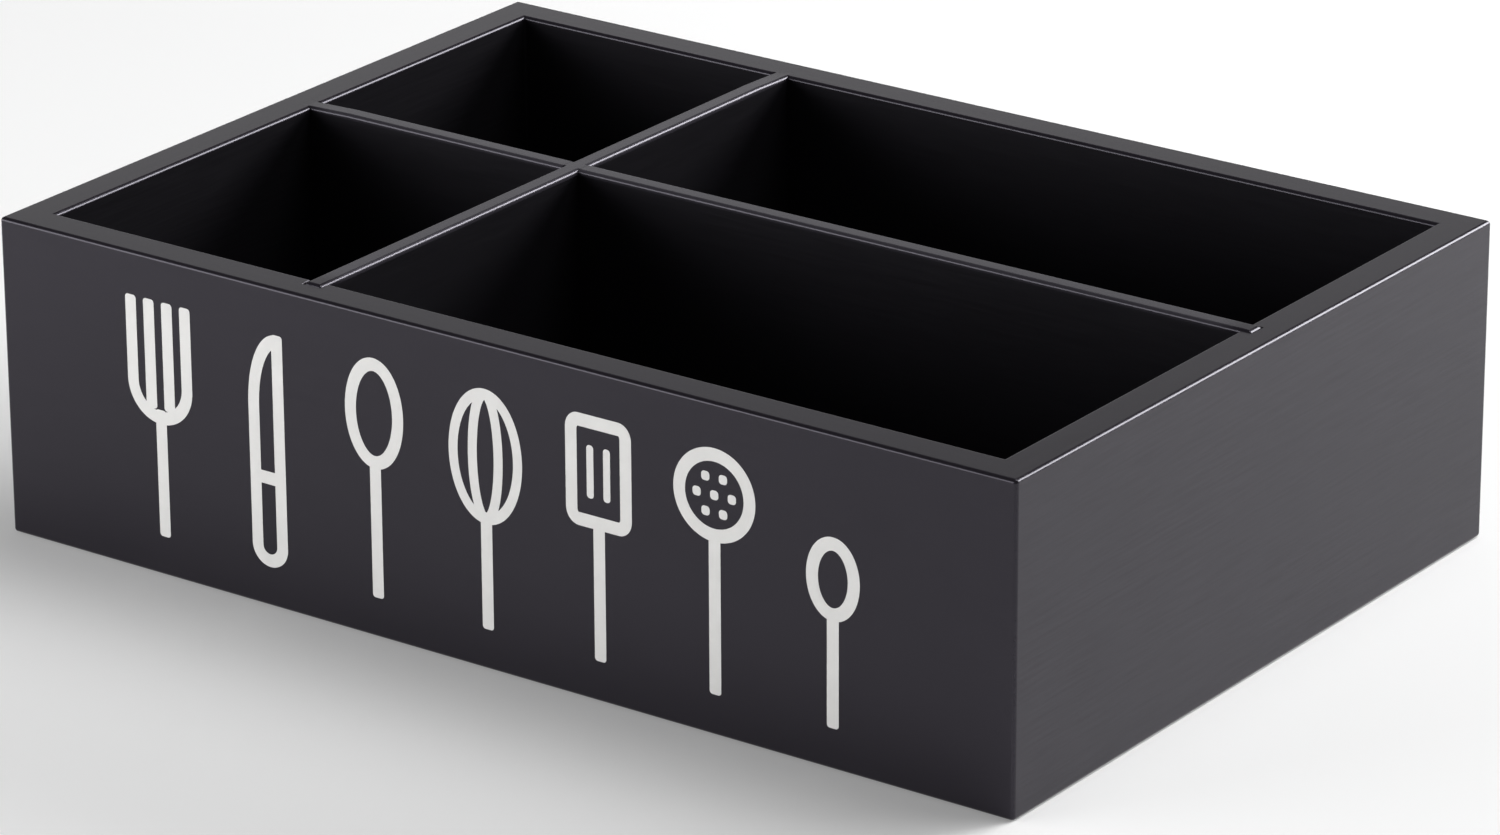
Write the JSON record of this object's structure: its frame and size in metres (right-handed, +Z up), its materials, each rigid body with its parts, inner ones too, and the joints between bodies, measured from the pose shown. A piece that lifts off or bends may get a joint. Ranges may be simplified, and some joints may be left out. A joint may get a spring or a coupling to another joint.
{
  "type": "utensil caddy",
  "caption": "Open-topped rectangular countertop caddy for utensils and packets, split by two crossing lift-out dividers into unequal compartments.",
  "frame": {"origin": "middle of the underside, on the surface that the caddy stands on", "axes": "+Z up, +X to the right along the long front face, +Y from the front face to the back"},
  "size_m": [0.36, 0.25, 0.1005],
  "materials": {
    "wall_paint": "satin black lacquer over sanded board",
    "base_paint": "satin black lacquer over board",
    "divider_paint": "satin black lacquer over thin board",
    "print_white": "flat off-white printed ink"
  },
  "bodies": {
    "box": {"front_panel": "wall_paint", "back_panel": "wall_paint", "left_panel": "wall_paint", "right_panel": "wall_paint", "base_panel": "base_paint"},
    "long_divider": {"long_divider": "divider_paint"},
    "cross_divider": {"cross_divider": "divider_paint"}
  },
  "joints": [
    {"name": "long_divider_lift", "type": "slide", "parent": "box", "child": "long_divider", "axis": [0, 0, 1], "range_m": [0, 0.11]},
    {"name": "cross_divider_lift", "type": "slide", "parent": "long_divider", "child": "cross_divider", "axis": [0, 0, 1], "range_m": [0, 0.11]}
  ]
}
